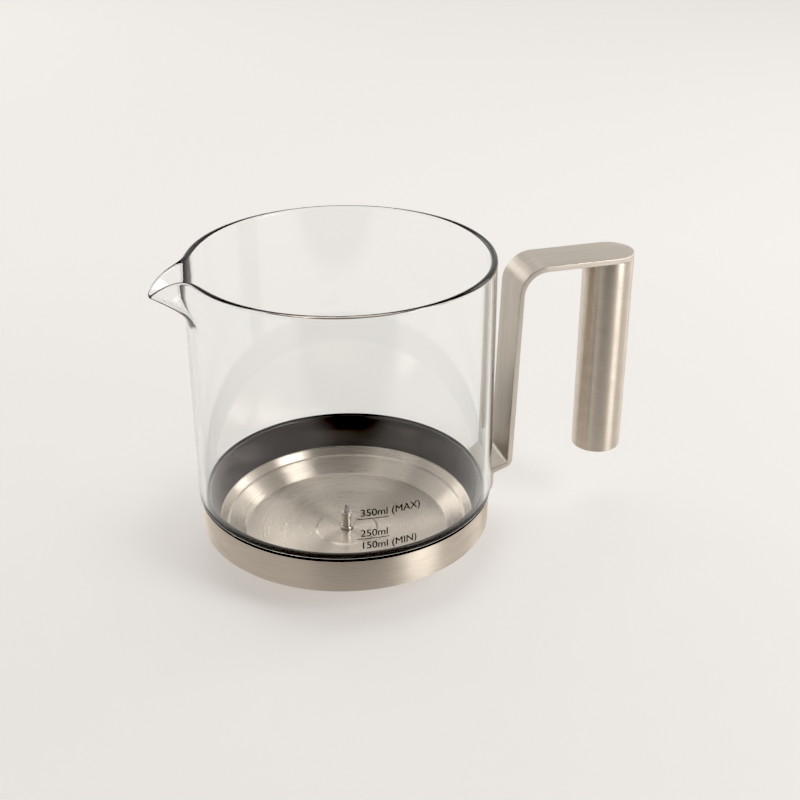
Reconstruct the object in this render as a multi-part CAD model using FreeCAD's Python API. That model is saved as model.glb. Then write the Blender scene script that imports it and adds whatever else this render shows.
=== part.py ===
"""Glass jug of a milk frother: steel pan and band below, strap handle with a hanging tubular grip.

Millimetres, +Z up. The origin is on the jug's axis, on the flat face that it stands on.
The handle points along +X and the pouring spout along -X.
"""
import FreeCAD, Part
import math
import os

# Heights, from the face that the jug stands on.
BAND_BOTTOM = 12.4
BAND_HEIGHT = 13.9
BAND_TOP = BAND_BOTTOM + BAND_HEIGHT
GLASS_BOTTOM = BAND_TOP + 1.5
COLLAR_TOP = BAND_TOP + 2.1
RIM = 126.0

# Glass wall.
GLASS_R = 60.0
GLASS_WALL = 2.5

# Steel band round the foot.
BAND_R = 59.0
BAND_WALL = 0.8
BAND_BEVEL = 0.3
FIT_GAP = 0.05

# Drawn steel pan: (radius, height) of its inner face, from the floor out to the clamped flange.
SHEET = 0.8
FLOOR_Z = 4.1
FLOOR_TURN = (30.0, 4.3)
FLOOR_TURN_R = 60.0
WELL_EDGE = (42.2, 6.2)
STEP_INNER = (48.7, 11.4)
STEP_OUTER = (49.7, 11.8)
PAN_EDGE = (52.4, 14.6)
PAN_BEND_R = 1.2
FLANGE_R = 54.4
EMBOSS_R = 13.1
EMBOSS_HEIGHT = 0.4

# Ferritic plate under the pan, which the power base heats.
DISC_R = 37.0
DISC_THICKNESS = FLOOR_Z - SHEET
DISC_EDGE_R = 0.6
DISC_RECESS_R = 4.6
DISC_RECESS_FLOOR = 1.4

# Fixed pin that the whisk turns on.
PIN_TIP_Z = 15.8
PIN_TIP_R = 0.35
PIN_TIP_HEIGHT = 0.3
PIN_COLLAR_TOP = 12.2
PIN_COLLAR_BOTTOM = 10.8
PIN_CHAMFER = 0.2
PIN_CONE_R = 1.3
PIN_COLLAR_R = 2.35
PIN_SHAFT_R = 1.95
PIN_FLANGE_R = 2.75
PIN_FLANGE_TOP = 5.8
PIN_SHANK_R = 1.5
PIN_SEAL_THICKNESS = 0.3
RIVET_R = 2.6
RIVET_CHAMFER = 0.4
RIVET_BOTTOM = 1.8
RIVET_TOP = 2.6
WASHER_R = 4.2

# Plastic collar inside the band and the plastic ring that closes the foot from below.
COLLAR_TOP_R = 55.4
UPSTAND_R = 56.3
COLLAR_LIP_R = 0.4
GASKET_R = BAND_R
GASKET_EDGE_R = 0.4
GROOVE = (52.9, 54.2)
GROOVE_DEPTH = 0.8
BASE_RING_R = 51.5
RING_CLEARANCE = 0.1
RING_LEDGE = (0.4, 0.9)

# Screws that clamp the pan's flange between the ring and the collar.
SCREW_COUNT = 4
SCREW_CIRCLE_R = 56.0
SCREW_R = 1.0
SCREW_LENGTH = 8.0
SCREW_HEAD_R = 1.8
SCREW_HEAD_HEIGHT = 0.8
SCREW_HOLE_R = SCREW_R + 0.15
SCREW_RECESS = (2.0, 0.4, 0.4)

# Handle strap: flat bar, bent in the XZ plane. (x, z) of its middle line's corners.
STRAP_THICKNESS = 2.3
STRAP_HALF_WIDTH = 10.25
TAB_X = BAND_R + FIT_GAP + STRAP_THICKNESS / 2
TAB_BOTTOM = 13.0
SHELF_INNER = (TAB_X, 26.5)
SHELF_OUTER = (68.4, 29.4)
ARM_Z = 114.83
ARM_CORNER = (71.3, ARM_Z)
TAB_BEND_R = 2.0
SHELF_BEND_R = 2.9
ARM_BEND_R = 10.85

# Hanging grip.
GRIP_X = 111.84
GRIP_R = STRAP_HALF_WIDTH
GRIP_WALL = 0.8
GRIP_TOP = ARM_Z - STRAP_THICKNESS / 2
GRIP_BOTTOM = 27.9
CAP_THICKNESS = 1.2
CAP_EDGE_R = 0.8
PLUG_WALL = 1.5
PLUG_TOP = 35.0
CORE_BOTTOM = 35.2
BOSS_R = 5.0
BOSS_BOTTOM = 107.6
BOLT_R = 2.0
BOLT_HEAD_R = 3.5
BOLT_HEAD_BOTTOM = 36.2
BOLT_HEAD_TOP = 40.2
BOLT_TIP_Z = 112.4
BOLT_SOCKET_R = 1.7
BOLT_SOCKET_DEPTH = 2.2
BOLT_HOLE_GAP = 0.1
BOLT_HEAD_GAP = 0.3

# Spout, opposite the handle. Sections of its outer face, each at a distance out from the jug's
# axis: (distance, half width at the rim, rim height below RIM, keel height below RIM).
SPOUT_SECTIONS = [
    (56.0, 16.5, 0.0, 23.0),
    (64.0, 7.7, 0.0, 16.5),
    (69.0, 4.7, 4.0, 12.8),
    (73.5, 3.0, 7.0, 9.8),
]
SPOUT_KEEL_R = 1.6
SPOUT_WALL = 2.0
SPOUT_RIM_START = 60.5
SPOUT_RIM_SLOPE = 0.63
SPOUT_TIP = 74.0

AXIS = FreeCAD.Vector(0, 0, 1)
ORIGIN = FreeCAD.Vector(0, 0, 0)


def turned(profile):
    """Solid of revolution about Z from a closed outline of (radius, z) points."""
    points = [FreeCAD.Vector(r, 0, z) for r, z in profile]
    face = Part.Face(Part.makePolygon(points + points[:1]))
    return face.revolve(ORIGIN, AXIS, 360)


def disc(radius, bottom, top, x=0.0, y=0.0):
    """Upright cylinder between two heights."""
    return Part.makeCylinder(radius, top - bottom, FreeCAD.Vector(x, y, bottom))


def tube(outer, inner, bottom, top, x=0.0):
    """Upright tube between two heights."""
    return disc(outer, bottom, top, x).cut(disc(inner, bottom - 1, top + 1, x))


def rounded(solid, radius, corners):
    """Fillet the circular edges that run through the given (radius, z) points."""
    def at_corner(edge):
        point = edge.Vertexes[0].Point
        reach = math.hypot(point.x, point.y)
        return any(math.hypot(reach - r, point.z - z) < 0.01 for r, z in corners)
    return solid.makeFillet(radius, [edge for edge in solid.Edges if at_corner(edge)])


def offset_below(points, distance):
    """Copy of an open (r, z) outline moved square to itself by a distance, with mitred corners."""
    normals = []
    for (r0, z0), (r1, z1) in zip(points, points[1:]):
        length = math.hypot(r1 - r0, z1 - z0)
        normals.append(((z1 - z0) / length, (r0 - r1) / length))
    moved = []
    for index, (r, z) in enumerate(points):
        before = normals[max(index - 1, 0)]
        after = normals[min(index, len(normals) - 1)]
        reach = distance / (1 + before[0] * after[0] + before[1] * after[1])
        moved.append((r + (before[0] + after[0]) * reach, z + (before[1] + after[1]) * reach))
    return moved


def swept_bar(corners, bends, half_width, thickness):
    """Flat bar along a middle line in the XZ plane, with a tangent arc at each inner corner."""
    points = [FreeCAD.Vector(x, 0, z) for x, z in corners]
    edges = []
    start = points[0]
    for before, corner, after, bend in zip(points, points[1:], points[2:], bends):
        to_before = (before - corner).normalize()
        to_after = (after - corner).normalize()
        half_turn = (math.pi - to_before.getAngle(to_after)) / 2
        arc_start = corner + to_before * (bend * math.tan(half_turn))
        arc_end = corner + to_after * (bend * math.tan(half_turn))
        inward = (to_before + to_after).normalize()
        arc_middle = corner + inward * (bend / math.cos(half_turn) - bend)
        edges.append(Part.LineSegment(start, arc_start).toShape())
        edges.append(Part.Arc(arc_start, arc_middle, arc_end).toShape())
        start = arc_end
    edges.append(Part.LineSegment(start, points[-1]).toShape())
    along = (points[1] - points[0]).normalize()
    side = FreeCAD.Vector(0, 1, 0)
    up = along.cross(side)
    section = []
    for across, out in ((-1, -1), (1, -1), (1, 1), (-1, 1)):
        section.append(points[0] + side * (half_width * across) + up * (thickness / 2 * out))
    outline = Part.makePolygon(section + section[:1])
    return Part.Wire(edges).makePipeShell([outline], True, True)


def spout_section(distance, half_width, rim, keel, keel_radius):
    """Closed V outline with a round keel, square to X, at a distance out along -X."""
    centre_z = keel + keel_radius
    depth = rim - centre_z
    lean = math.atan2(half_width, depth) + math.asin(keel_radius / math.hypot(half_width, depth))
    touch_y = keel_radius * math.cos(lean)
    touch_z = centre_z - keel_radius * math.sin(lean)
    def place(y, z):
        return FreeCAD.Vector(-distance, y, z)
    return Part.Wire([
        Part.LineSegment(place(-half_width, rim), place(half_width, rim)).toShape(),
        Part.LineSegment(place(half_width, rim), place(touch_y, touch_z)).toShape(),
        Part.Arc(place(touch_y, touch_z), place(0, keel), place(-touch_y, touch_z)).toShape(),
        Part.LineSegment(place(-touch_y, touch_z), place(-half_width, rim)).toShape(),
    ])


def spout_horn(inset, rise):
    """Loft through the spout's sections, narrowed by an inset and with its top raised by a rise."""
    wires = []
    for distance, half_width, rim_drop, keel_drop in SPOUT_SECTIONS:
        narrow = max(half_width - inset, 0.9)
        keel = RIM - keel_drop + inset * 1.2
        top = max(RIM - rim_drop + rise, keel + 2.5)
        radius = min(SPOUT_KEEL_R, narrow * 0.6)
        wires.append(spout_section(distance + inset * 0.4, narrow, top, keel, radius))
    return Part.makeLoft(wires, True, True)


def glass_body():
    """Straight glass wall with a pinched, drawn-out spout whose rim dips towards its tip."""
    inner_r = GLASS_R - GLASS_WALL
    wall = tube(GLASS_R, inner_r, GLASS_BOTTOM, RIM)
    outer = spout_horn(0.0, 6.0)
    outer = outer.cut(disc(inner_r, GLASS_BOTTOM, RIM + 20))
    hollow = spout_horn(SPOUT_WALL, 8.0)
    body = wall.fuse(outer).cut(hollow)
    dip = (SPOUT_TIP - SPOUT_RIM_START + 10) * SPOUT_RIM_SLOPE
    above = Part.Face(Part.makePolygon([
        FreeCAD.Vector(-SPOUT_RIM_START, -40, RIM),
        FreeCAD.Vector(-SPOUT_TIP - 10, -40, RIM - dip),
        FreeCAD.Vector(-SPOUT_TIP - 10, -40, RIM + 30),
        FreeCAD.Vector(GLASS_R + 10, -40, RIM + 30),
        FreeCAD.Vector(GLASS_R + 10, -40, RIM),
        FreeCAD.Vector(-SPOUT_RIM_START, -40, RIM),
    ])).extrude(FreeCAD.Vector(0, 80, 0))
    beyond_tip = Part.makeBox(20, 40, 60, FreeCAD.Vector(-SPOUT_TIP - 20, -20, RIM - 50))
    body = body.cut(above).cut(beyond_tip)
    below = disc(GLASS_R + 20, GLASS_BOTTOM - 20, GLASS_BOTTOM)
    return body.cut(below).removeSplitter()


def glass_gasket():
    """Silicone ring between the glass's lower edge and the band."""
    return rounded(tube(GASKET_R, UPSTAND_R + FIT_GAP, BAND_TOP, GLASS_BOTTOM), GASKET_EDGE_R,
                   [(GASKET_R, BAND_TOP), (GASKET_R, GLASS_BOTTOM)])


def collar_outline():
    """Outline of the plastic collar: sloped inner face, upstand inside the glass, gasket groove."""
    outer = BAND_R - BAND_WALL - FIT_GAP
    foot = PAN_EDGE[1]
    return [
        (PAN_EDGE[0] + FIT_GAP, foot),
        (COLLAR_TOP_R, COLLAR_TOP),
        (UPSTAND_R, COLLAR_TOP),
        (UPSTAND_R, BAND_TOP),
        (outer, BAND_TOP),
        (outer, foot),
        (GROOVE[1], foot),
        (GROOVE[1], foot + GROOVE_DEPTH),
        (GROOVE[0], foot + GROOVE_DEPTH),
        (GROOVE[0], foot),
    ]


def screw_places():
    """Centre of each foot screw, evenly spaced from 45 degrees."""
    for index in range(SCREW_COUNT):
        angle = math.radians(45 + 360 * index / SCREW_COUNT)
        yield SCREW_CIRCLE_R * math.cos(angle), SCREW_CIRCLE_R * math.sin(angle)


def inner_collar():
    """Plastic collar that holds the glass and the pan, with blind holes for the foot screws."""
    collar = rounded(turned(collar_outline()), COLLAR_LIP_R,
                     [(COLLAR_TOP_R, COLLAR_TOP), (UPSTAND_R, COLLAR_TOP)])
    hole_top = BAND_BOTTOM + SCREW_HEAD_HEIGHT + SCREW_LENGTH + 0.5
    for x, y in screw_places():
        collar = collar.cut(disc(SCREW_R + FIT_GAP, PAN_EDGE[1] - 1, hole_top, x, y))
    return collar


def outer_band():
    """Brushed steel band with a small bevel along its upper edge."""
    band = tube(BAND_R, BAND_R - BAND_WALL, BAND_BOTTOM, BAND_TOP)
    return rounded(band, BAND_BEVEL, [(BAND_R, BAND_TOP), (BAND_R, BAND_BOTTOM)])


def steel_pan():
    """Drawn sheet pan: slightly dished floor with a raised centre, stepped side, clamped flange."""
    emboss_z = FLOOR_Z + EMBOSS_HEIGHT
    inner = [
        (0.0, emboss_z),
        (EMBOSS_R - EMBOSS_HEIGHT, emboss_z),
        (EMBOSS_R, FLOOR_Z),
        FLOOR_TURN,
        WELL_EDGE,
        STEP_INNER,
        STEP_OUTER,
        PAN_EDGE,
        (FLANGE_R, PAN_EDGE[1]),
    ]
    outer = offset_below(inner, SHEET)
    pan = turned(inner + outer[::-1])
    pan = rounded(pan, FLOOR_TURN_R, [FLOOR_TURN])
    pan = rounded(pan, PAN_BEND_R, [WELL_EDGE])
    return pan.cut(disc(PIN_SHANK_R + FIT_GAP, 0, FLOOR_Z + 5))


def pan_gasket():
    """Silicone ring squeezed between the pan's flange and the collar."""
    foot = PAN_EDGE[1]
    return tube(GROOVE[1] - FIT_GAP, GROOVE[0] + FIT_GAP, foot, foot + GROOVE_DEPTH)


def heating_disc():
    """Ferritic plate bonded under the pan's floor, recessed on top for the pin's rivet."""
    plate = rounded(disc(DISC_R, 0, DISC_THICKNESS), DISC_EDGE_R, [(DISC_R, 0)])
    return plate.cut(disc(DISC_RECESS_R, DISC_RECESS_FLOOR, DISC_THICKNESS + 1))


def spindle_pin():
    """Turned steel pin: pointed tip, collar, shaft and flange, riveted under the pan."""
    flange_bottom = FLOOR_Z + EMBOSS_HEIGHT + PIN_SEAL_THICKNESS
    return turned([
        (0.0, PIN_TIP_Z),
        (PIN_TIP_R, PIN_TIP_Z - PIN_TIP_HEIGHT),
        (PIN_CONE_R, PIN_COLLAR_TOP),
        (PIN_COLLAR_R - PIN_CHAMFER, PIN_COLLAR_TOP),
        (PIN_COLLAR_R, PIN_COLLAR_TOP - PIN_CHAMFER),
        (PIN_COLLAR_R, PIN_COLLAR_BOTTOM + PIN_CHAMFER),
        (PIN_SHAFT_R, PIN_COLLAR_BOTTOM),
        (PIN_SHAFT_R, PIN_FLANGE_TOP),
        (PIN_FLANGE_R - PIN_CHAMFER, PIN_FLANGE_TOP),
        (PIN_FLANGE_R, PIN_FLANGE_TOP - PIN_CHAMFER),
        (PIN_FLANGE_R, flange_bottom),
        (PIN_SHANK_R, flange_bottom),
        (PIN_SHANK_R, RIVET_TOP),
        (RIVET_R, RIVET_TOP),
        (RIVET_R - RIVET_CHAMFER, RIVET_BOTTOM),
        (0.0, RIVET_BOTTOM),
    ])


def spindle_seal():
    """Thin silicone washer under the pin's flange."""
    bottom = FLOOR_Z + EMBOSS_HEIGHT
    return tube(PIN_FLANGE_R - FIT_GAP, PIN_SHANK_R + FIT_GAP, bottom, bottom + PIN_SEAL_THICKNESS)


def spindle_washer():
    """Steel backing washer between the rivet head and the pan's underside."""
    return tube(WASHER_R, PIN_SHANK_R + FIT_GAP, RIVET_TOP, FLOOR_Z + EMBOSS_HEIGHT - SHEET)


def base_ring():
    """Plastic ring that closes the foot from below and clamps the pan's flange."""
    outer = BAND_R - BAND_WALL - FIT_GAP
    foot = PAN_EDGE[1]
    under_flange = foot - SHEET - FIT_GAP
    ring = turned([
        (BASE_RING_R, BAND_BOTTOM),
        (outer, BAND_BOTTOM),
        (outer, foot),
        (FLANGE_R + RING_CLEARANCE, foot),
        (FLANGE_R + RING_CLEARANCE, under_flange),
        (PAN_EDGE[0] + RING_LEDGE[0], under_flange),
        (BASE_RING_R, under_flange - RING_LEDGE[1]),
    ])
    head_top = BAND_BOTTOM + SCREW_HEAD_HEIGHT
    for x, y in screw_places():
        ring = ring.cut(disc(SCREW_HOLE_R, BAND_BOTTOM - 1, foot + 1, x, y))
        ring = ring.cut(disc(SCREW_HEAD_R + RING_CLEARANCE, BAND_BOTTOM - 1, head_top, x, y))
    return ring


def base_screws():
    """Pan-head screws with a cross recess, as a group of separate solids."""
    seat = BAND_BOTTOM + SCREW_HEAD_HEIGHT
    head_bottom = BAND_BOTTOM + RING_CLEARANCE
    long_side, short_side, depth = SCREW_RECESS
    screws = []
    for x, y in screw_places():
        head = disc(SCREW_HEAD_R, head_bottom, seat, x, y)
        screw = head.fuse(disc(SCREW_R, seat, seat + SCREW_LENGTH, x, y))
        for length, width in ((long_side, short_side), (short_side, long_side)):
            corner = FreeCAD.Vector(x - length / 2, y - width / 2, head_bottom)
            screw = screw.cut(Part.makeBox(length, width, depth, corner))
        screws.append(screw)
    return Part.makeCompound(screws)


def handle_strap():
    """Bent flat bar: rounded tab on the band, short shelf, riser, and arm with a round end."""
    bar = swept_bar(
        [(TAB_X, TAB_BOTTOM), SHELF_INNER, SHELF_OUTER, ARM_CORNER, (GRIP_X + GRIP_R, ARM_Z)],
        [TAB_BEND_R, SHELF_BEND_R, ARM_BEND_R], STRAP_HALF_WIDTH, STRAP_THICKNESS)
    tab_centre = TAB_BOTTOM + STRAP_HALF_WIDTH
    width = 2 * STRAP_HALF_WIDTH + 2
    lower_corner = Part.makeBox(30, width, STRAP_HALF_WIDTH,
                                FreeCAD.Vector(TAB_X - 15, -width / 2, TAB_BOTTOM))
    tab_round = Part.makeCylinder(STRAP_HALF_WIDTH, 30, FreeCAD.Vector(TAB_X - 15, 0, tab_centre),
                                  FreeCAD.Vector(1, 0, 0))
    end_corner = Part.makeBox(STRAP_HALF_WIDTH + 1, width, 20,
                              FreeCAD.Vector(GRIP_X, -width / 2, ARM_Z - 10))
    end_round = disc(GRIP_R, ARM_Z - 10, ARM_Z + 10, GRIP_X)
    return bar.cut(lower_corner.cut(tab_round)).cut(end_corner.cut(end_round)).removeSplitter()


def strap_boss():
    """Threaded steel boss welded under the arm's round end."""
    return tube(BOSS_R, BOLT_R + FIT_GAP, BOSS_BOTTOM, GRIP_TOP, GRIP_X)


def grip_tube():
    """Steel sleeve of the grip."""
    return tube(GRIP_R, GRIP_R - GRIP_WALL, GRIP_BOTTOM + CAP_THICKNESS, GRIP_TOP, GRIP_X)


def grip_core():
    """Plastic core that keeps the sleeve in line, bored for the bolt."""
    core_top = BOSS_BOTTOM - BOLT_HOLE_GAP
    core = tube(GRIP_R - GRIP_WALL - FIT_GAP, BOLT_R + BOLT_HOLE_GAP, CORE_BOTTOM, core_top, GRIP_X)
    return core.cut(disc(BOLT_HEAD_R + BOLT_HEAD_GAP, CORE_BOTTOM - 1, BOLT_HEAD_TOP, GRIP_X))


def grip_bolt():
    """Socket-head bolt up through the core into the boss."""
    bolt = disc(BOLT_HEAD_R, BOLT_HEAD_BOTTOM, BOLT_HEAD_TOP, GRIP_X)
    bolt = bolt.fuse(disc(BOLT_R, BOLT_HEAD_TOP, BOLT_TIP_Z, GRIP_X))
    corners = []
    for index in range(7):
        angle = math.radians(60 * index)
        corners.append(FreeCAD.Vector(GRIP_X + BOLT_SOCKET_R * math.cos(angle),
                                      BOLT_SOCKET_R * math.sin(angle), BOLT_HEAD_BOTTOM))
    socket = Part.Face(Part.makePolygon(corners)).extrude(AXIS * BOLT_SOCKET_DEPTH)
    return bolt.cut(socket)


def grip_end_cap():
    """Steel end cap with a plug that presses into the sleeve."""
    lid = disc(GRIP_R, GRIP_BOTTOM, GRIP_BOTTOM + CAP_THICKNESS, GRIP_X)
    lower_edge = [edge for edge in lid.Edges if edge.BoundBox.ZMax < GRIP_BOTTOM + 0.01]
    lid = lid.makeFillet(CAP_EDGE_R, lower_edge)
    plug_r = GRIP_R - GRIP_WALL - FIT_GAP
    return lid.fuse(tube(plug_r, plug_r - PLUG_WALL, GRIP_BOTTOM + CAP_THICKNESS, PLUG_TOP, GRIP_X))


NODES = {
    "glass_body": glass_body,
    "glass_gasket": glass_gasket,
    "inner_collar": inner_collar,
    "outer_band": outer_band,
    "steel_pan": steel_pan,
    "pan_gasket": pan_gasket,
    "heating_disc": heating_disc,
    "spindle_pin": spindle_pin,
    "spindle_seal": spindle_seal,
    "spindle_washer": spindle_washer,
    "base_ring": base_ring,
    "base_screws": base_screws,
    "handle_strap": handle_strap,
    "strap_boss": strap_boss,
    "grip_tube": grip_tube,
    "grip_core": grip_core,
    "grip_bolt": grip_bolt,
    "grip_end_cap": grip_end_cap,
}

os.makedirs("parts", exist_ok=True)
for node, make in NODES.items():
    shape = make()
    shape.exportStep("parts/" + node + ".step")
    print(node, shape.ShapeType, len(shape.Solids), shape.isValid(), round(shape.Volume, 1))
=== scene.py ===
import bmesh
import bpy
import math
import numpy as np
from mathutils import Matrix, Vector


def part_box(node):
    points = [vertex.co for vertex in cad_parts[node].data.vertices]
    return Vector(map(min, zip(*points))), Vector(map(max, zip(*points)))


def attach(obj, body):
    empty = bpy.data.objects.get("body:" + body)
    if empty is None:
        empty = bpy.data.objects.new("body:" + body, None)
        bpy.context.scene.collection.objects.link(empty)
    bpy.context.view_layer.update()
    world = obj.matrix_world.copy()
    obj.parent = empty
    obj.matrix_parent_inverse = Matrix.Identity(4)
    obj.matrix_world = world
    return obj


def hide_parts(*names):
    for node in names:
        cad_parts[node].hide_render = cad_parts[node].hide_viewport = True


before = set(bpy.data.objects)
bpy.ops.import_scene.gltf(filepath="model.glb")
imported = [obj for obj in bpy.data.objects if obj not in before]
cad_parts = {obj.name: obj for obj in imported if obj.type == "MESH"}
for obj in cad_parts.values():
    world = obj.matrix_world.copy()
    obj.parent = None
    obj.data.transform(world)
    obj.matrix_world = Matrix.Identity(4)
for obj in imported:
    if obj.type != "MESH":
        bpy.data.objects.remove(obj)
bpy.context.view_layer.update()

# --- Camera and studio ----------------------------------------------------------------------
# The jug stands on a pale sweep under a large soft lamp. The camera looks down on it from in
# front, a little to the spout's side, with a lens a bit longer than normal.
CAMERA_PLACE = Vector((-0.1091, -0.4585, 0.3037))
CAMERA_PITCH = math.radians(26.98)
CAMERA_HEADING = math.radians(16.13)
CAMERA_ROLL = math.radians(0.17)
LENS_MM = 59.15
SENSOR_MM = 36.0
FILM_BLACK = (0.028, 0.029, 0.030)
camera_data = bpy.data.cameras.new("studio_camera")
camera_data.lens = LENS_MM
camera_data.sensor_width = SENSOR_MM
camera_data.clip_start = 0.01
camera = bpy.data.objects.new("studio_camera", camera_data)
bpy.context.scene.collection.objects.link(camera)
camera.location = CAMERA_PLACE
looking = (Matrix.Rotation(-CAMERA_HEADING, 4, "Z")
           @ Matrix.Rotation(math.pi / 2 - CAMERA_PITCH, 4, "X")
           @ Matrix.Rotation(-CAMERA_ROLL, 4, "Z"))
camera.rotation_euler = looking.to_euler()
bpy.context.scene.camera = camera
grade = bpy.context.scene.view_settings
grade.view_transform = "Standard"
grade.use_curve_mapping = True
grade.curve_mapping.black_level = FILM_BLACK


def new_material(name, **values):
    """Principled material with constants set on the shader's own sockets."""
    material = bpy.data.materials.new(name)
    material.use_nodes = True
    shader = material.node_tree.nodes["Principled BSDF"]
    for socket, value in values.items():
        shader.inputs[socket.replace("_", " ").title().replace("Ior", "IOR")].default_value = value
    return material, material.node_tree, shader


def math_node(tree, operation, first, second=None):
    """Math node whose inputs are numbers or sockets; returns its output."""
    node = tree.nodes.new("ShaderNodeMath")
    node.operation = operation
    for socket, value in zip(node.inputs, (first, second)):
        if isinstance(value, (int, float)):
            socket.default_value = value
        elif value is not None:
            tree.links.new(value, socket)
    return node.outputs[0]


def eased_range(tree, value, span, result=(0.0, 1.0), easing="SMOOTHSTEP"):
    """Value carried from one span to another and held at its ends, by a smooth step or a line."""
    node = tree.nodes.new("ShaderNodeMapRange")
    node.interpolation_type = easing
    for label, number in zip(("From Min", "From Max", "To Min", "To Max"), (*span, *result)):
        node.inputs[label].default_value = number
    tree.links.new(value, node.inputs["Value"])
    return node.outputs["Result"]


# The pale sweep is one large sheet, so it fills the view from every side. Steel and glass reflect a
# dark round zone of it in front of the jug. It is painted shade that stands for the camera's shadow,
# and the camera itself sees it as pale as the rest. The sweep glows a little, more with distance, and
# is clear from below.
FLOOR_REACH = 8.0
SHADE_ZONE_CENTRE = (-0.07, -0.42, 0)
ZONE_EDGE = (0.20, 0.262)
GLOW_SPAN = (0.25, 0.80)
GLOW = (0.40, 0.47)
SWEEP_SHADE = (0.02, 0.02, 0.02, 1)
SWEEP_PALE = (0.52, 0.535, 0.545, 1)
GLOW_PALE = (1.0, 0.93, 0.87, 1)
floor_mesh = bpy.data.meshes.new("sweep")
floor_mesh.from_pydata([(-FLOOR_REACH, -FLOOR_REACH, 0), (FLOOR_REACH, -FLOOR_REACH, 0),
                        (FLOOR_REACH, FLOOR_REACH, 0), (-FLOOR_REACH, FLOOR_REACH, 0)],
                       [], [(0, 1, 2, 3)])
floor = bpy.data.objects.new("sweep", floor_mesh)
bpy.context.scene.collection.objects.link(floor)
sweep_paint, tree, shader = new_material("sweep_paint", roughness=0.7, specular_ior_level=0.1)
zone_distance = tree.nodes.new("ShaderNodeVectorMath")
zone_distance.operation = "DISTANCE"
tree.links.new(tree.nodes.new("ShaderNodeTexCoord").outputs["Object"], zone_distance.inputs[0])
zone_distance.inputs[1].default_value = SHADE_ZONE_CENTRE
edge = eased_range(tree, zone_distance.outputs["Value"], ZONE_EDGE)
path = tree.nodes.new("ShaderNodeLightPath")
seen_pale = math_node(tree, "MAXIMUM", edge, path.outputs["Is Camera Ray"])
glow = eased_range(tree, zone_distance.outputs["Value"], GLOW_SPAN, GLOW, "LINEAR")
tree.links.new(glow, shader.inputs["Emission Strength"])
# Inside the zone, rays other than the camera's see painted shade: a dark colour and a dark glow.
for label, pale in (("Base Color", SWEEP_PALE), ("Emission Color", GLOW_PALE)):
    shades = tree.nodes.new("ShaderNodeMix")
    shades.data_type = "RGBA"
    shades.inputs[6].default_value = SWEEP_SHADE
    shades.inputs[7].default_value = pale
    tree.links.new(seen_pale, shades.inputs["Factor"])
    tree.links.new(shades.outputs[2], shader.inputs[label])
under = tree.nodes.new("ShaderNodeMixShader")
tree.links.new(tree.nodes.new("ShaderNodeNewGeometry").outputs["Backfacing"], under.inputs[0])
tree.links.new(shader.outputs[0], under.inputs[1])
tree.links.new(tree.nodes.new("ShaderNodeBsdfTransparent").outputs[0], under.inputs[2])
tree.links.new(under.outputs[0], tree.nodes["Material Output"].inputs["Surface"])
floor_mesh.materials.append(sweep_paint)

LAMP_TINT = (1.0, 0.98, 0.95)
JUG_MIDDLE = (0, 0, 0.08)


def soft_lamp(name, place, width, height, radiance, target=JUG_MIDDLE):
    """Rectangular soft box at a place, turned towards a target; its power is pi times its area
    times its radiance."""
    data = bpy.data.lights.new(name, "AREA")
    data.shape = "RECTANGLE"
    data.size, data.size_y = width, height
    data.energy = math.pi * width * height * radiance
    data.color = LAMP_TINT
    lamp = bpy.data.objects.new(name, data)
    bpy.context.scene.collection.objects.link(lamp)
    lamp.location = place
    lamp.rotation_euler = (Vector(target) - Vector(place)).to_track_quat("-Z", "Y").to_euler()


soft_lamp("overhead_soft_box", (-0.1, 0.7, 2.3), width=1.6, height=1.0, radiance=1.5,
          target=(0, 0.2, 0))
soft_lamp("front_right_soft_box", (0.80, -0.80, 0.75), width=0.55, height=0.9, radiance=5.0)
soft_lamp("right_soft_box", (1.25, 0.32, 0.56), width=0.35, height=0.7, radiance=2.6)
soft_lamp("back_left_soft_box", (-0.55, 1.4, 0.62), width=0.9, height=0.5, radiance=1.6)

# The studio's walls: pale low down, dim overhead, a dark zone behind the camera, a dim left wing.
# The camera itself sees one even tone.
OVERHEAD_TONE = 0.16
LOW_WALL_GAIN = 0.70
BEHIND_CAMERA_SHADE = 0.85
LEFT_WING_SHADE = 0.35
SEEN_TONE = 0.75
WALL_TINT = (1.0, 0.975, 0.945, 1)
world = bpy.data.worlds.new("studio_walls")
bpy.context.scene.world = world
world.use_nodes = True
tree = world.node_tree
facing = tree.nodes.new("ShaderNodeTexCoord").outputs["Generated"]


def facing_zone(way, start, end):
    """Soft zone round a way: a smooth step on the cosine between it and the ray."""
    dot = tree.nodes.new("ShaderNodeVectorMath")
    dot.operation = "DOT_PRODUCT"
    tree.links.new(facing, dot.inputs[0])
    dot.inputs[1].default_value = Vector(way).normalized()
    return eased_range(tree, dot.outputs["Value"], (start, end))


def shaded(zone, share):
    """What a zone leaves of the light: 1 - share * zone."""
    return math_node(tree, "SUBTRACT", 1.0, math_node(tree, "MULTIPLY", zone, share))


skyline = facing_zone((0, 0, 1), 0.95, 0.45)
behind_camera = facing_zone((-0.10, -1.0, 0.45), 0.72, 0.93)
left_wing = facing_zone((-1.0, -0.25, 0.25), 0.55, 0.95)
wall = math_node(tree, "ADD", OVERHEAD_TONE, math_node(tree, "MULTIPLY", skyline, LOW_WALL_GAIN))
shade = math_node(tree, "MULTIPLY", shaded(behind_camera, BEHIND_CAMERA_SHADE),
                  shaded(left_wing, LEFT_WING_SHADE))
background = tree.nodes["Background"]
background.inputs["Color"].default_value = WALL_TINT
seen = tree.nodes.new("ShaderNodeLightPath").outputs["Is Camera Ray"]
unseen = math_node(tree, "SUBTRACT", 1.0, seen)
studio = math_node(tree, "MULTIPLY", math_node(tree, "MULTIPLY", wall, shade), unseen)
tree.links.new(math_node(tree, "ADD", studio, math_node(tree, "MULTIPLY", seen, SEEN_TONE)),
               background.inputs["Strength"])

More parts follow.
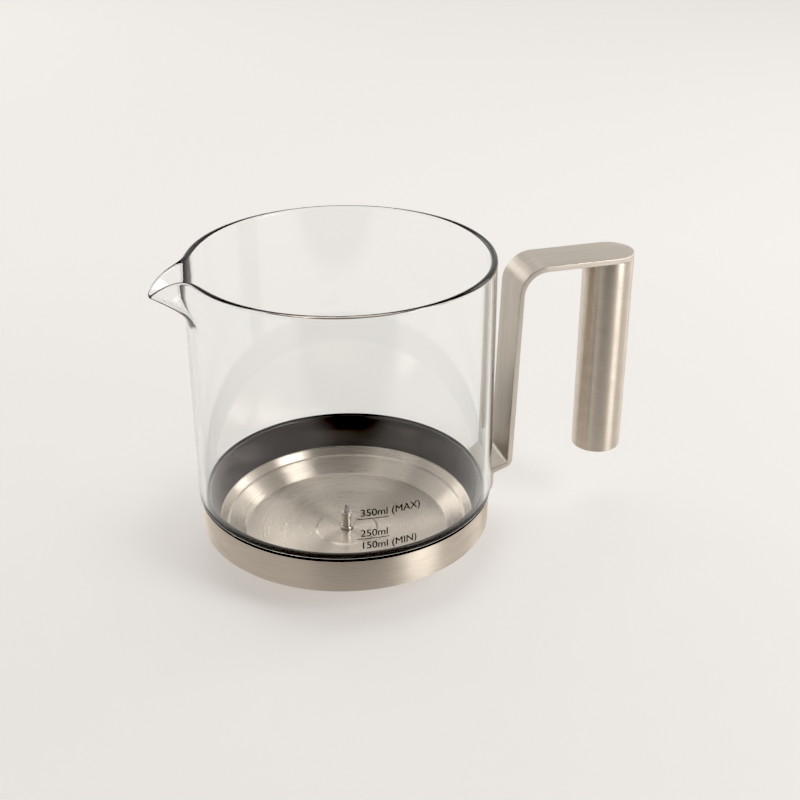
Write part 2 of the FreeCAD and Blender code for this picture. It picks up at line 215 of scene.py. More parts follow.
# --- Steel band -----------------------------------------------------------------------------
# The foot's outer wall: a ring rolled from stainless strip, brushed round its circumference,
# with a fine bright bevel turned on its upper and lower edges.
MM = 0.001
BAND_BEVEL = 0.35 * MM
BAND_WALL = 0.8 * MM
TURNS = 256
WELD_REACH = 0.001 * MM


def weld(mesh):
    """Merge points closer than a micron, which closes seams and poles."""
    work = bmesh.new()
    work.from_mesh(mesh)
    bmesh.ops.remove_doubles(work, verts=work.verts, dist=WELD_REACH)
    work.to_mesh(mesh)
    work.free()
    mesh.validate()


def grid_mesh(name, points, wrap_u=False, wrap_v=False, sharp=35.0, run=None):
    """Quads between neighbours of an (u, v, 3) array of points; a wrapped way joins its last row
    to its first. Faces are turned outwards by the sign of the enclosed volume, the sum over the
    faces of centre dot area vector. An (u, v, 2) array of runs becomes the piece's UV map."""
    rows, columns = points.shape[:2]
    index = np.arange(rows * columns).reshape(rows, columns)
    if wrap_u:
        index = np.vstack([index, index[:1]])
    if wrap_v:
        index = np.hstack([index, index[:, :1]])
    quads = np.stack([index[:-1, :-1], index[1:, :-1], index[1:, 1:], index[:-1, 1:]], -1)
    quads = quads.reshape(-1, 4)
    flat = points.reshape(-1, 3)
    corner = flat[quads]
    area = np.cross(corner[:, 2] - corner[:, 0], corner[:, 3] - corner[:, 1])
    if np.einsum("ij,ij->", corner.mean(1), area) < 0:
        quads = quads[:, ::-1]
    mesh = bpy.data.meshes.new(name)
    mesh.from_pydata(flat.tolist(), [], quads.tolist())
    if run is not None:
        layer = mesh.uv_layers.new(name="run")
        layer.data.foreach_set("uv", run.reshape(-1, 2)[quads.ravel()].ravel())
    piece = bpy.data.objects.new(name, mesh)
    bpy.context.scene.collection.objects.link(piece)
    weld(mesh)
    mesh.shade_smooth()
    mesh.set_sharp_from_angle(angle=math.radians(sharp))
    return piece


def rounded_outline(corners, radii, steps=6):
    """Open outline of (r, z) points where each inner corner becomes an arc of its own radius: the
    arc's centre lies on the corner's bisector, radius / sin(half the angle) from the corner, and
    its ends lie radius / tan(half the angle) along the two runs."""
    corners = np.array(corners, float)
    points = [corners[0]]
    for before, corner, after, radius in zip(corners, corners[1:], corners[2:], radii):
        if radius <= 0:
            points.append(corner)
            continue
        a = (before - corner) / np.linalg.norm(before - corner)
        b = (after - corner) / np.linalg.norm(after - corner)
        half = math.acos(np.clip(a @ b, -1, 1)) / 2
        reach = radius / math.tan(half)
        centre = corner + (a + b) / np.linalg.norm(a + b) * radius / math.sin(half)
        start, end = corner + a * reach - centre, corner + b * reach - centre
        turn = math.atan2(start[0] * end[1] - start[1] * end[0], start @ end)
        for step in range(steps + 1):
            angle = turn * step / steps
            points.append(centre + [start[0] * math.cos(angle) - start[1] * math.sin(angle),
                                    start[0] * math.sin(angle) + start[1] * math.cos(angle)])
    points.append(corners[-1])
    return np.array(points)


def subdivided(outline, longest):
    """Outline with extra points so that no run is longer than a given length."""
    pieces = []
    for start, end in zip(outline, outline[1:]):
        count = max(1, math.ceil(np.linalg.norm(end - start) / longest))
        pieces.append(start + (end - start) * np.arange(count)[:, None] / count)
    return np.vstack(pieces + [outline[-1:]])


def turned(name, outline, turns=TURNS, closed=True, axis_x=0.0, sharp=35.0):
    """Outline carried round an upright axis: x = axis + r cos a, y = r sin a, z unchanged."""
    angle = np.linspace(0, 2 * np.pi, turns, endpoint=False)[:, None]
    r, z = outline[None, :, 0], outline[None, :, 1]
    points = np.stack([axis_x + r * np.cos(angle), r * np.sin(angle), z + 0 * angle], -1)
    return grid_mesh(name, points, wrap_u=True, wrap_v=closed, sharp=sharp)


BRUSH_CONTRAST = 2.2
ROUGHNESS_SWING = 0.10


def finish_group():
    """Brushed finish: a stretched noise gives fine scratches and a second one a soft drift; their
    blend, 0.65 of one and 0.35 of the other with its contrast raised, sets colour and roughness."""
    group = bpy.data.node_groups.new("brushed_finish", "ShaderNodeTree")
    for label, kind in (("Grain Vector", "NodeSocketVector"), ("Drift Vector", "NodeSocketVector"),
                        ("Base Roughness", "NodeSocketFloat"), ("Scratch Depth", "NodeSocketFloat"),
                        ("Dark Tint", "NodeSocketColor"), ("Light Tint", "NodeSocketColor")):
        group.interface.new_socket(label, in_out="INPUT", socket_type=kind)
    for label, kind in (("Color", "NodeSocketColor"), ("Roughness", "NodeSocketFloat"),
                        ("Height", "NodeSocketFloat")):
        group.interface.new_socket(label, in_out="OUTPUT", socket_type=kind)
    inside = group.nodes.new("NodeGroupInput")
    outside = group.nodes.new("NodeGroupOutput")
    grain = group.nodes.new("ShaderNodeTexNoise")
    grain.inputs["Scale"].default_value = 1.0
    grain.inputs["Detail"].default_value = 6.0
    grain.inputs["Roughness"].default_value = 0.7
    group.links.new(inside.outputs["Grain Vector"], grain.inputs["Vector"])
    drift = group.nodes.new("ShaderNodeTexNoise")
    drift.inputs["Scale"].default_value = 1.0
    drift.inputs["Detail"].default_value = 3.0
    group.links.new(inside.outputs["Drift Vector"], drift.inputs["Vector"])
    blend = math_node(group, "ADD", math_node(group, "MULTIPLY", grain.outputs["Fac"], 0.65),
                      math_node(group, "MULTIPLY", drift.outputs["Fac"], 0.35))
    off_middle = math_node(group, "SUBTRACT", blend, 0.5)
    blend = math_node(group, "ADD", 0.5, math_node(group, "MULTIPLY", off_middle, BRUSH_CONTRAST))
    mix = group.nodes.new("ShaderNodeMix")
    mix.data_type = "RGBA"
    group.links.new(blend, mix.inputs["Factor"])
    group.links.new(inside.outputs["Dark Tint"], mix.inputs[6])
    group.links.new(inside.outputs["Light Tint"], mix.inputs[7])
    group.links.new(mix.outputs[2], outside.inputs["Color"])
    swing = math_node(group, "MULTIPLY", math_node(group, "SUBTRACT", blend, 0.5), ROUGHNESS_SWING)
    group.links.new(math_node(group, "ADD", inside.outputs["Base Roughness"], swing),
                    outside.inputs["Roughness"])
    height = math_node(group, "MULTIPLY", grain.outputs["Fac"], inside.outputs["Scratch Depth"])
    group.links.new(height, outside.inputs["Height"])
    return group


brushed_finish = finish_group()


def scaled_vector(tree, source, scale, shift=(0, 0, 0)):
    """Mapping node that scales and shifts a vector."""
    node = tree.nodes.new("ShaderNodeMapping")
    node.inputs["Scale"].default_value = scale
    node.inputs["Location"].default_value = shift
    tree.links.new(source, node.inputs["Vector"])
    return node.outputs[0]


def round_vector(tree, axis_x=0.0):
    """(cos a, sin a, z) and radius of a point about an upright axis, from Object coordinates."""
    place = tree.nodes.new("ShaderNodeTexCoord").outputs["Object"]
    centred = scaled_vector(tree, place, (1, 1, 1), (-axis_x, 0, 0))
    split = tree.nodes.new("ShaderNodeSeparateXYZ")
    tree.links.new(centred, split.inputs[0])
    x, y, z = split.outputs
    squares = math_node(tree, "ADD", math_node(tree, "MULTIPLY", x, x),
                        math_node(tree, "MULTIPLY", y, y))
    radius = math_node(tree, "SQRT", squares)
    join = tree.nodes.new("ShaderNodeCombineXYZ")
    tree.links.new(math_node(tree, "DIVIDE", x, radius), join.inputs[0])
    tree.links.new(math_node(tree, "DIVIDE", y, radius), join.inputs[1])
    tree.links.new(z, join.inputs[2])
    return join.outputs[0], radius, z


def round_grain(scale_round, scale_up, axis_x=0.0):
    """Function that places a scaled round_vector in a tree: rings where scale_up is the larger."""
    def placed(tree):
        return scaled_vector(tree, round_vector(tree, axis_x)[0], (scale_round, scale_round, scale_up))
    return placed


SCRATCH_HEIGHT = 0.03 * MM
SQUARE_TO_SCRATCHES = 0.25


def brushed_steel(name, grain_vector, drift_vector, roughness, dark, light, depth=0.5, anisotropic=0.6,
                  along_bar=False):
    """Steel whose scratches follow a given vector; the two functions place it in the tree. Its
    highlights stretch square to the scratches, which run round an axis or along the UV map."""
    material, tree, shader = new_material(name, metallic=1.0, anisotropic=anisotropic,
                                          anisotropic_rotation=SQUARE_TO_SCRATCHES)
    node = tree.nodes.new("ShaderNodeGroup")
    node.node_tree = brushed_finish
    tree.links.new(grain_vector(tree), node.inputs["Grain Vector"])
    tree.links.new(drift_vector(tree), node.inputs["Drift Vector"])
    node.inputs["Base Roughness"].default_value = roughness
    node.inputs["Scratch Depth"].default_value = depth
    node.inputs["Dark Tint"].default_value = (*dark, 1)
    node.inputs["Light Tint"].default_value = (*light, 1)
    tree.links.new(node.outputs["Color"], shader.inputs["Base Color"])
    tree.links.new(node.outputs["Roughness"], shader.inputs["Roughness"])
    bump = tree.nodes.new("ShaderNodeBump")
    bump.inputs["Strength"].default_value = 0.25
    bump.inputs["Distance"].default_value = SCRATCH_HEIGHT
    tree.links.new(node.outputs["Height"], bump.inputs["Height"])
    tree.links.new(bump.outputs[0], shader.inputs["Normal"])
    tangent = tree.nodes.new("ShaderNodeTangent")
    if along_bar:
        tangent.direction_type = "UV_MAP"
        tangent.uv_map = "run"
    else:
        tangent.direction_type = "RADIAL"
        tangent.axis = "Z"
    tree.links.new(tangent.outputs[0], shader.inputs["Tangent"])
    return material


WARM_DARK = (0.57, 0.505, 0.435)
WARM_LIGHT = (0.78, 0.705, 0.62)

# The outline starts and ends on the inside face, so the round edges are whole.
low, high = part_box("outer_band")
band_r, band_bottom, band_top = high.x, low.z, high.z
band_in = band_r - BAND_WALL
band = turned("brushed_band", rounded_outline(
    [(band_in, band_bottom + 0.2 * MM), (band_in, band_bottom), (band_r, band_bottom),
     (band_r, band_top), (band_in, band_top), (band_in, band_bottom + 0.3 * MM)],
    [0, BAND_BEVEL, BAND_BEVEL, 0], steps=4), sharp=50)
band.data.materials.append(brushed_steel(
    "band_steel", round_grain(8, 2500), round_grain(4, 600),
    0.40, WARM_DARK, WARM_LIGHT, depth=1.0, anisotropic=1.0))
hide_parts("outer_band")
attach(band, "root")

# --- Base ring, screws and heating disc -----------------------------------------------------
# The foot's underside: a ring moulded in dark plastic with a fine spark-eroded texture, held up
# by four steel screws, and the ferritic steel disc that the warming plate heats.


def dress(material, *names):
    """Give carried-over pieces a material."""
    for name in names:
        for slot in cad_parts[name].material_slots:
            slot.material = material


def moulded_finish(name, colour, roughness, specular, scale, height):
    """Plastic or rubber: a fine noise moves its roughness a little and raises its surface. The
    roughness is that given times (1 + 0.3 * (noise - 0.5))."""
    material, tree, shader = new_material(name, base_color=(*colour, 1), specular_ior_level=specular)
    noise = tree.nodes.new("ShaderNodeTexNoise")
    noise.inputs["Scale"].default_value = scale
    noise.inputs["Detail"].default_value = 4.0
    tree.links.new(tree.nodes.new("ShaderNodeTexCoord").outputs["Object"], noise.inputs["Vector"])
    off_middle = math_node(tree, "SUBTRACT", noise.outputs["Fac"], 0.5)
    swing = math_node(tree, "MULTIPLY", off_middle, 0.3 * roughness)
    tree.links.new(math_node(tree, "ADD", swing, roughness), shader.inputs["Roughness"])
    bump = tree.nodes.new("ShaderNodeBump")
    bump.inputs["Strength"].default_value = 0.3
    bump.inputs["Distance"].default_value = height
    tree.links.new(noise.outputs["Fac"], bump.inputs["Height"])
    tree.links.new(bump.outputs[0], shader.inputs["Normal"])
    return material


FASTENER_DARK = (0.45, 0.45, 0.45)
FASTENER_LIGHT = (0.66, 0.65, 0.64)

dress(moulded_finish("matt_black_plastic", (0.02, 0.02, 0.021), roughness=0.6, specular=0.4,
                     scale=1500.0, height=0.04 * MM), "base_ring")
dress(brushed_steel("screw_steel", round_grain(900, 900), round_grain(200, 200),
                    0.32, FASTENER_DARK, FASTENER_LIGHT, anisotropic=0.0), "base_screws")
dress(brushed_steel("ferritic_steel", round_grain(9, 4000), round_grain(4, 400),
                    0.38, (0.38, 0.37, 0.36), (0.55, 0.54, 0.53)), "heating_disc")

# --- Rubber seals ---------------------------------------------------------------------------
# Silicone rings squeezed between the glass, the pan and the foot, and a thin one under the pin's
# rivet. The glass sits in a black ring whose bead fills the gap behind its lower edge.
SEAT_MIDDLE_R = 57.5 * MM
SEAT_OUTER_R = 59.7 * MM
BEAD_OUTER_R = 57.55 * MM
BEAD_INNER_R = 56.3 * MM
BEAD_RISE = 0.8 * MM
FINE_TURNS = 320
silicone = moulded_finish("silicone", (0.003, 0.002, 0.002), roughness=0.7, specular=0.02,
                          scale=900.0, height=0.02 * MM)
dress(silicone, "pan_gasket", "spindle_seal")
low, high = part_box("glass_gasket")
seat_top = high.z + 0.04 * MM
bead_top = high.z + BEAD_RISE
seat = turned("glass_seat_ring", rounded_outline(
    [(SEAT_MIDDLE_R, low.z), (SEAT_OUTER_R, low.z), (SEAT_OUTER_R, seat_top), (BEAD_OUTER_R, seat_top),
     (BEAD_OUTER_R, bead_top), (BEAD_INNER_R, bead_top), (BEAD_INNER_R, low.z)],
    [0.3 * MM, 0.1 * MM, 0, 0, 0.3 * MM], steps=4), turns=FINE_TURNS, sharp=50)
seat.data.materials.append(silicone)
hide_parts("glass_gasket")
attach(seat, "root")

# --- Spun pan -------------------------------------------------------------------------------
# The vessel's floor: stainless sheet drawn into a stepped dish, with a shallow raised disc in
# the middle. It is polished on a lathe, so its scratches are circles about the pin.
SHEET = 0.8 * MM
FLOOR_Z = 4.1 * MM
EMBOSS_Z = FLOOR_Z + 0.4 * MM
# Both faces run from the pin's hole over the raised disc, up the dish and out to the flange.
pan_inside = [(0.0016, EMBOSS_Z), (0.0123, EMBOSS_Z), (0.0133, FLOOR_Z), (0.0300, 0.0043),
              (0.0422, 0.0062), (0.0487, 0.0114), (0.0497, 0.0118), (0.0524, 0.0146), (0.0544, 0.0146)]
pan_radii = [0.0005, 0.0005, 0.060, 0.0013, 0.0004, 0.0010, 0.0010]
inside = subdivided(rounded_outline(pan_inside, pan_radii, steps=8), 0.0015)
pan_under = [(0.0016, EMBOSS_Z - SHEET), (0.0124, EMBOSS_Z - SHEET), (0.0128, FLOOR_Z - SHEET),
             (0.0300, 0.0035), (0.0425, 0.0055), (0.0491, 0.0107), (0.0501, 0.0111), (0.0527, 0.0138),
             (0.0544, 0.0138)]
outside = subdivided(rounded_outline(pan_under, pan_radii, steps=8), 0.002)
pan = turned("spun_pan", np.vstack([inside, outside[::-1]]), turns=FINE_TURNS)


def spun_grain(turns_scale, ring_scale):
    """Function that places rings about the axis in a tree: (cos a, sin a) times turns_scale, and
    (radius + height) times ring_scale."""
    def placed(tree):
        direction, radius, z = round_vector(tree)
        split = tree.nodes.new("ShaderNodeSeparateXYZ")
        tree.links.new(direction, split.inputs[0])
        join = tree.nodes.new("ShaderNodeCombineXYZ")
        rings = math_node(tree, "ADD", radius, z)
        scaled = ((split.outputs[0], turns_scale), (split.outputs[1], turns_scale), (rings, ring_scale))
        for socket, (value, scale) in zip(join.inputs, scaled):
            tree.links.new(math_node(tree, "MULTIPLY", value, scale), socket)
        return join.outputs[0]
    return placed


pan.data.materials.append(brushed_steel(
    "spun_steel", spun_grain(2.5, 2500), spun_grain(1.0, 500),
    0.29, (0.70, 0.62, 0.54), (0.82, 0.735, 0.65), depth=0.3, anisotropic=1.0))
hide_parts("steel_pan")
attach(pan, "root")

# --- Whisk pin ------------------------------------------------------------------------------
# A turned and polished steel pin, riveted through the pan: pointed tip, collar, plain shaft and
# a flange on a thin seal. Its outline goes down from the tip to the rivet's head, and only the
# edges above the pan are rounded.
pin_corners = [(0, 0.0158), (0.00035, 0.0155), (0.0013, 0.0122), (0.00215, 0.0122), (0.00235, 0.0120),
               (0.00235, 0.0110), (0.00195, 0.0108), (0.00195, 0.0058), (0.00255, 0.0058),
               (0.00275, 0.0056), (0.00275, 0.0048), (0.0015, 0.0048), (0.0015, 0.0026),
               (0.0026, 0.0026), (0.0022, 0.0018), (0, 0.0018)]
pin_outline = rounded_outline(pin_corners, [0.0002] + [0.0001] * 9 + [0] * 4, steps=3)
pin = turned("whisk_pin", subdivided(pin_outline, 0.0006), turns=72, closed=False, sharp=40)
pin_steel = brushed_steel(
    "pin_steel", spun_grain(5, 9000), spun_grain(3, 500),
    0.15, (0.52, 0.49, 0.45), (0.74, 0.71, 0.67), depth=0.6, anisotropic=0.5)
pin.data.materials.append(pin_steel)
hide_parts("spindle_pin")
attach(pin, "root")
dress(pin_steel, "spindle_washer")

# --- Black collar ---------------------------------------------------------------------------
# An injection-moulded ring inside the foot: glossy black, sloped towards the pan, with a round
# upper lip that the glass is bonded over. Its outline goes round from underneath: out, up to the
# glass, in to the lip and down the slope.
collar_outline = rounded_outline(
    [(0.0545, 0.0146), (0.0581, 0.0146), (0.0581, 0.0263), (0.0563, 0.0263), (0.0563, 0.0284),
     (0.0554, 0.0284), (0.05245, 0.0146), (0.0545, 0.0146)],
    [0.0002, 0.0002, 0.0002, 0.0004, 0.0004, 0.0002], steps=6)
collar = turned("glossy_collar", subdivided(collar_outline, 0.003)[:-1], turns=FINE_TURNS)
gloss_black, tree, shader = new_material("gloss_black", base_color=(0.028, 0.024, 0.027, 1),
                                         roughness=0.06, specular_ior_level=0.6)
ripple = tree.nodes.new("ShaderNodeTexNoise")
ripple.inputs["Scale"].default_value = 90.0
tree.links.new(tree.nodes.new("ShaderNodeTexCoord").outputs["Object"], ripple.inputs["Vector"])
bump = tree.nodes.new("ShaderNodeBump")
bump.inputs["Strength"].default_value = 0.15
bump.inputs["Distance"].default_value = 0.0002
tree.links.new(ripple.outputs["Fac"], bump.inputs["Height"])
tree.links.new(bump.outputs[0], shader.inputs["Normal"])
collar.data.materials.append(gloss_black)
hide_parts("inner_collar")
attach(collar, "root")

# --- Glass ----------------------------------------------------------------------------------
# Clear borosilicate, drawn as a straight tube with a fire-polished rim. The spout is pinched and
# pulled out while soft, so its lip is thin and dips towards the tip.
GLASS_R = 60.0 * MM
GLASS_WALL = 2.5 * MM
LIP_THINNING = 1.2 * MM
LIP_ANGLE = math.radians(14)
low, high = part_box("glass_body")
GLASS_BOTTOM, RIM = low.z, high.z
SPOUT_REACH = 14.0 * MM
SPOUT_ROOT = 19.0 * MM
SPOUT_DIP = 8.3 * MM
SPOUT_ANGLE = math.radians(4.6)
SPOUT_SHARPNESS = 1.35
SPOUT_SOFT = math.radians(1.4)
SPOUT_EASE = 0.3
DIP_ANGLE = math.radians(5.8)
DIP_SHARPNESS = 2.1
FINE_HALF_SPAN = 22
SMALL_ANGLE = 1e-4
SMALL_HEIGHT = 1e-6


def outer_radius(angle, z):
    """Outer wall's radius: the tube's, plus the spout's reach times climb times
    exp(-(soft / width) to the power of its sharpness). Climb grows as
    (h squared / (h + ease)) * (1 + ease), with h the height above the spout's root, 1 at its tip.
    Soft is sqrt(angle squared + softening squared) - softening, which rounds the tip."""
    root = RIM - SPOUT_ROOT
    tip = RIM - SPOUT_DIP
    h = np.clip((z - root) / (tip - root), 0, None)
    climb = h ** 2 / (h + SPOUT_EASE) * (1 + SPOUT_EASE)
    soft = np.sqrt(angle ** 2 + SPOUT_SOFT ** 2) - SPOUT_SOFT
    return GLASS_R + SPOUT_REACH * climb * np.exp(-(soft / SPOUT_ANGLE) ** SPOUT_SHARPNESS)


def glass_surface():
    """Grid of (angle, way round the wall): up the outside, over the rim, down the inside. The rim's
    height dips by exp(-|angle / width| to a power), and the wall is thinner near the lip. The
    inside is the outside moved inwards along its own normal by the wall's thickness, where the
    normal is (radial - slope round * tangential - slope up * upright) / size. The rim is half a
    circle from the outer edge to the inner one, bulging along the wall's own upward way."""
    near = np.linspace(-FINE_HALF_SPAN, FINE_HALF_SPAN, 177)
    far = np.linspace(FINE_HALF_SPAN, 360 - FINE_HALF_SPAN, 330)[1:-1]
    away = np.radians(np.concatenate([near, far]))[:, None]
    angle = (away + np.pi) % (2 * np.pi) - np.pi
    top = RIM - SPOUT_DIP * np.exp(-np.abs(angle / DIP_ANGLE) ** DIP_SHARPNESS)
    lip = np.exp(-(angle / LIP_ANGLE) ** 2)
    bead = (GLASS_WALL - LIP_THINNING * lip) / 2
    rise = 1 - (1 - np.linspace(0, 1, 60)) ** 1.5
    z = GLASS_BOTTOM + (top - bead - GLASS_BOTTOM) * rise[None]
    drawn = np.clip((z - (RIM - SPOUT_ROOT)) / (SPOUT_ROOT - SPOUT_DIP), 0, 1)
    thick = (GLASS_WALL - LIP_THINNING * lip * drawn)[..., None]
    radius = outer_radius(angle, z)
    round_slope = (outer_radius(angle + SMALL_ANGLE, z) - outer_radius(angle - SMALL_ANGLE, z)) / (
        2 * SMALL_ANGLE * radius)
    up_slope = (outer_radius(angle, z + SMALL_HEIGHT) - outer_radius(angle, z - SMALL_HEIGHT)) / (
        2 * SMALL_HEIGHT)
    radial = np.stack([-np.cos(away), -np.sin(away), 0 * away], -1)
    tangential = np.stack([np.sin(away), -np.cos(away), 0 * away], -1)
    upright = np.array([0, 0, 1.0])
    normal = radial - round_slope[..., None] * tangential - up_slope[..., None] * upright
    normal /= np.linalg.norm(normal, axis=-1, keepdims=True)
    outside = radius[..., None] * radial + z[..., None] * upright
    inside = outside - thick * normal
    upward = up_slope[:, -1:, None] * radial + upright
    upward /= np.linalg.norm(upward, axis=-1, keepdims=True)
    turn = np.linspace(0, np.pi, 11)[None, 1:-1, None]
    over = ((outside[:, -1:] + inside[:, -1:]) / 2
            + thick[:, -1:] / 2 * (normal[:, -1:] * np.cos(turn) + upward * np.sin(turn)))
    return np.concatenate([outside, over, inside[:, ::-1]], axis=1)


glass = grid_mesh("glass_jug", glass_surface(), wrap_u=True, wrap_v=True, sharp=60)
clear_glass, tree, shader = new_material("clear_glass", base_color=(0.985, 0.99, 0.985, 1),
                                         roughness=0.0, ior=1.47, transmission_weight=1.0)
# Rays from the lamps pass straight through, so the glass throws a pale shadow.
let_lamps_through = tree.nodes.new("ShaderNodeMixShader")
path = tree.nodes.new("ShaderNodeLightPath")
clear = tree.nodes.new("ShaderNodeBsdfTransparent")
clear.inputs["Color"].default_value = (0.93, 0.94, 0.93, 1)
tree.links.new(path.outputs["Is Shadow Ray"], let_lamps_through.inputs[0])
tree.links.new(shader.outputs[0], let_lamps_through.inputs[1])
tree.links.new(clear.outputs[0], let_lamps_through.inputs[2])
tree.links.new(let_lamps_through.outputs[0], tree.nodes["Material Output"].inputs["Surface"])
glass.data.materials.append(clear_glass)
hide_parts("glass_body")
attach(glass, "root")

# --- Strap ----------------------------------------------------------------------------------
# A flat stainless bar with round ends, bent cold: a tab welded on the band, a short shelf, a
# leaning riser and a level arm. It is brushed along its length, and its edges are broken.
STRAP_THICKNESS = 2.3 * MM
STRAP_HALF_WIDTH = 10.25 * MM
STRAP_EDGE = 0.35 * MM
EDGE_WRAP = 0.4
WELD_GAP = 0.05 * MM
GRIP_X = 111.84 * MM
low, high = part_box("handle_strap")
tab_x = band_r + WELD_GAP + STRAP_THICKNESS / 2
arm_z = high.z - STRAP_THICKNESS / 2
# The bar's middle line: the tab's foot, the shelf's two ends, the riser's head and the arm's end.
strap_line = rounded_outline(
    [(tab_x, low.z), (tab_x, 26.5 * MM), (68.4 * MM, 29.4 * MM), (71.3 * MM, arm_z),
     (GRIP_X + STRAP_HALF_WIDTH, arm_z)],
    [2.0 * MM, 2.9 * MM, 10.85 * MM], steps=14)


def strap_surface(line, half_width, thickness, edge):
    """Round-ended flat bar laid out straight, then bent. Round the outline runs one way of the
    grid; the other goes in from the edge to the bar's middle line, on both faces:
    place = outline + inward normal * inset, lifted by +-half the thickness. The straight bar's
    length is then carried along the bent line, its lift along the line's normal. Runs in metres
    are returned too: along the bar, and across it plus a share of the way down from the top."""
    runs = np.linalg.norm(np.diff(line, axis=0), axis=1)
    reach = np.concatenate([[0], np.cumsum(runs)])
    length = reach[-1]
    bends = reach[(reach > half_width) & (reach < length - half_width)]
    even = np.linspace(half_width, length - half_width, 60)
    straight = np.unique(np.round(np.concatenate([bends, even]), 7))
    arc = np.linspace(-np.pi / 2, np.pi / 2, 33)[1:-1]
    outline_s = np.concatenate([straight, length - half_width + half_width * np.cos(arc),
                                straight[::-1], half_width - half_width * np.cos(arc)])
    outline_t = np.concatenate([-half_width + 0 * straight, half_width * np.sin(arc),
                                half_width + 0 * straight, -half_width * np.sin(arc)])
    normal_s = np.concatenate([0 * straight, -np.cos(arc), 0 * straight, np.cos(arc)])
    normal_t = np.concatenate([1 + 0 * straight, -np.sin(arc), -1 + 0 * straight, np.sin(arc)])
    corner = np.linspace(0, np.pi / 2, 5)
    inner = [half_width, half_width * 0.5]
    rounding = edge - edge * np.sin(corner)
    inset = np.concatenate([inner, rounding, rounding[::-1], inner[::-1]])
    half = thickness / 2
    upper = half - edge + edge * np.cos(corner)
    lift = np.concatenate([[half, half], upper, -upper[::-1], [-half, -half]])
    s = outline_s[:, None] + normal_s[:, None] * inset[None]
    t = outline_t[:, None] + normal_t[:, None] * inset[None]
    tangents = np.gradient(line, reach, axis=0)
    tangents /= np.linalg.norm(tangents, axis=1, keepdims=True)
    x, z = (np.interp(s, reach, line[:, k]) for k in (0, 1))
    way_x, way_z = (np.interp(s, reach, tangents[:, k]) for k in (0, 1))
    size = np.hypot(way_x, way_z)
    h = lift[None]
    run = np.stack([s + 0 * h, t + EDGE_WRAP * (half - h)], -1)
    return np.stack([x - way_z / size * h, t, z + way_x / size * h], -1), run


strap_points, strap_run = strap_surface(strap_line, STRAP_HALF_WIDTH, STRAP_THICKNESS, STRAP_EDGE)
strap = grid_mesh("handle_bar", strap_points, wrap_u=True, sharp=50, run=strap_run)


def bar_grain(along, across):
    """Function that places scratches along the bar in a tree, from its own UV map in metres."""
    def placed(tree):
        run = tree.nodes.new("ShaderNodeUVMap")
        run.uv_map = "run"
        return scaled_vector(tree, run.outputs[0], (along, across, 1))
    return placed


strap_steel = brushed_steel(
    "strap_steel", bar_grain(60, 3000), bar_grain(15, 300),
    0.40, (0.58, 0.53, 0.47), (0.81, 0.745, 0.675), depth=0.8, anisotropic=0.8, along_bar=True)
strap.data.materials.append(strap_steel)
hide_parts("handle_strap")
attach(strap, "root")
dress(strap_steel, "strap_boss")

# --- Grip -----------------------------------------------------------------------------------
# A steel sleeve that hangs from the arm's end, ground and brushed round its girth, closed below
# by a pressed-in cap with a round edge. A plastic core and a bolt inside hold it to the arm.
GRIP_R = STRAP_HALF_WIDTH
GRIP_WALL = 0.8 * MM
GRIP_TURNS = 144
FINE_EDGE = 0.05 * MM
low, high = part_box("grip_tube")
sleeve_in = GRIP_R - GRIP_WALL
sleeve = turned("grip_sleeve", subdivided(rounded_outline(
    [(sleeve_in, high.z), (GRIP_R, high.z), (GRIP_R, low.z), (sleeve_in, low.z)],
    [FINE_EDGE, FINE_EDGE], steps=3), 10 * MM), turns=GRIP_TURNS, axis_x=GRIP_X)
grip_steel = brushed_steel(
    "grip_steel", round_grain(3, 3500, GRIP_X), round_grain(1.5, 200, GRIP_X),
    0.37, WARM_DARK, WARM_LIGHT, depth=0.8, anisotropic=1.0)
sleeve.data.materials.append(grip_steel)
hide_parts("grip_tube")
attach(sleeve, "root")

CAP_ROUND = 0.8 * MM
PLUG_CLEARANCE = 0.05 * MM
PLUG_WALL = 1.5 * MM
cap_low, cap_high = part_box("grip_end_cap")
plug_r = sleeve_in - PLUG_CLEARANCE
plug_in = plug_r - PLUG_WALL
cap = turned("grip_cap", subdivided(rounded_outline(
    [(0, cap_low.z), (GRIP_R, cap_low.z), (GRIP_R, low.z), (plug_r, low.z), (plug_r, cap_high.z),
     (plug_in, cap_high.z), (plug_in, low.z), (0, low.z)],
    [CAP_ROUND, FINE_EDGE, 0, 0, 0, 0], steps=5), 3 * MM), turns=GRIP_TURNS, closed=False,
    axis_x=GRIP_X)
cap.data.materials.append(grip_steel)
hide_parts("grip_end_cap")
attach(cap, "root")

dress(moulded_finish("core_plastic", (0.03, 0.03, 0.03), roughness=0.5, specular=0.4,
                     scale=700.0, height=0.03 * MM), "grip_core")
dress(brushed_steel("bolt_steel", round_grain(900, 900, GRIP_X), round_grain(200, 200, GRIP_X),
                    0.3, FASTENER_DARK, FASTENER_LIGHT, anisotropic=0.0), "grip_bolt")

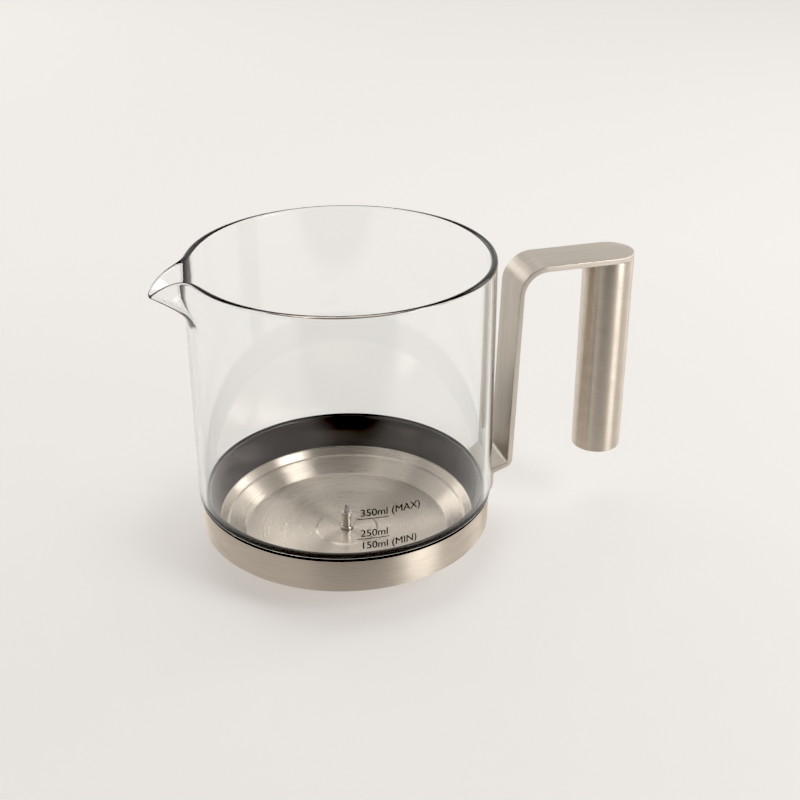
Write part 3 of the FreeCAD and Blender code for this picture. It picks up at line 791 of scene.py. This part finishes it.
# --- Printed marks --------------------------------------------------------------------------
# Volume marks screen-printed in dark ink on the outside of the glass, to the right of the pin as
# the user holds the jug: a maximum, a middle and a minimum level.
PRINT_LIFT = 0.03 * MM
INK_HALF_THICKNESS = 0.01 * MM
PRINT_SIZE = 4.25 * MM
STROKE = 0.09 * MM
TEXT_START = math.radians(-98.7)
LINE_SPAN = np.radians([-100.0, -88.3])
LINE_HEIGHT = 0.3 * MM
print_ink = new_material("print_ink", base_color=(0.006, 0.006, 0.006, 1), roughness=0.6,
                         specular_ior_level=0.2)[0]


def on_glass(flat_points, base_z):
    """Flat print wrapped round the glass: angle = start + x / radius, height = base + y."""
    angle = TEXT_START + flat_points[:, 0] / GLASS_R
    r = GLASS_R + PRINT_LIFT + flat_points[:, 2]
    return np.stack([r * np.cos(angle), r * np.sin(angle), base_z + flat_points[:, 1]], -1)


def printed(name, words, base_z):
    """Words as a thin mesh on the glass, printed twice a little apart, which makes them bolder."""
    curve = bpy.data.curves.new(name, "FONT")
    curve.body = words
    curve.size = PRINT_SIZE
    curve.extrude = INK_HALF_THICKNESS
    holder = bpy.data.objects.new(name + "_type", curve)
    mesh = bpy.data.meshes.new_from_object(holder)
    bpy.data.objects.remove(holder)
    points = np.empty(len(mesh.vertices) * 3)
    mesh.vertices.foreach_get("co", points)
    points = points.reshape(-1, 3)
    faces = [list(face.vertices) for face in mesh.polygons]
    count = len(points)
    mesh.clear_geometry()
    bold = np.vstack([points, points + [STROKE, 0, 0]])
    second = [[corner + count for corner in face] for face in faces]
    mesh.from_pydata(on_glass(bold, base_z).tolist(), [], faces + second)
    mesh.materials.clear()
    mesh.materials.append(print_ink)
    piece = bpy.data.objects.new(name, mesh)
    bpy.context.scene.collection.objects.link(piece)
    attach(piece, "root")


printed("mark_350", "350ml (MAX)", 46.2 * MM)
printed("mark_250", "250ml", 37.4 * MM)
printed("mark_150", "150ml (MIN)", 32.1 * MM)


def mark_line(name, z):
    """Thin level bar on the glass: an oblong of ink carried round it, x = r cos a, y = r sin a."""
    a = np.linspace(*LINE_SPAN, 25)[:, None]
    corner_z = z + LINE_HEIGHT * np.array([[0, 1, 1, 0]])
    r = GLASS_R + PRINT_LIFT + INK_HALF_THICKNESS * np.array([[-1, -1, 1, 1]])
    piece = grid_mesh(name, np.stack([r * np.cos(a), r * np.sin(a), corner_z + 0 * a], -1),
                      wrap_v=True, sharp=30)
    piece.data.materials.append(print_ink)
    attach(piece, "root")


mark_line("line_350", 44.9 * MM)
mark_line("line_250", 36.3 * MM)
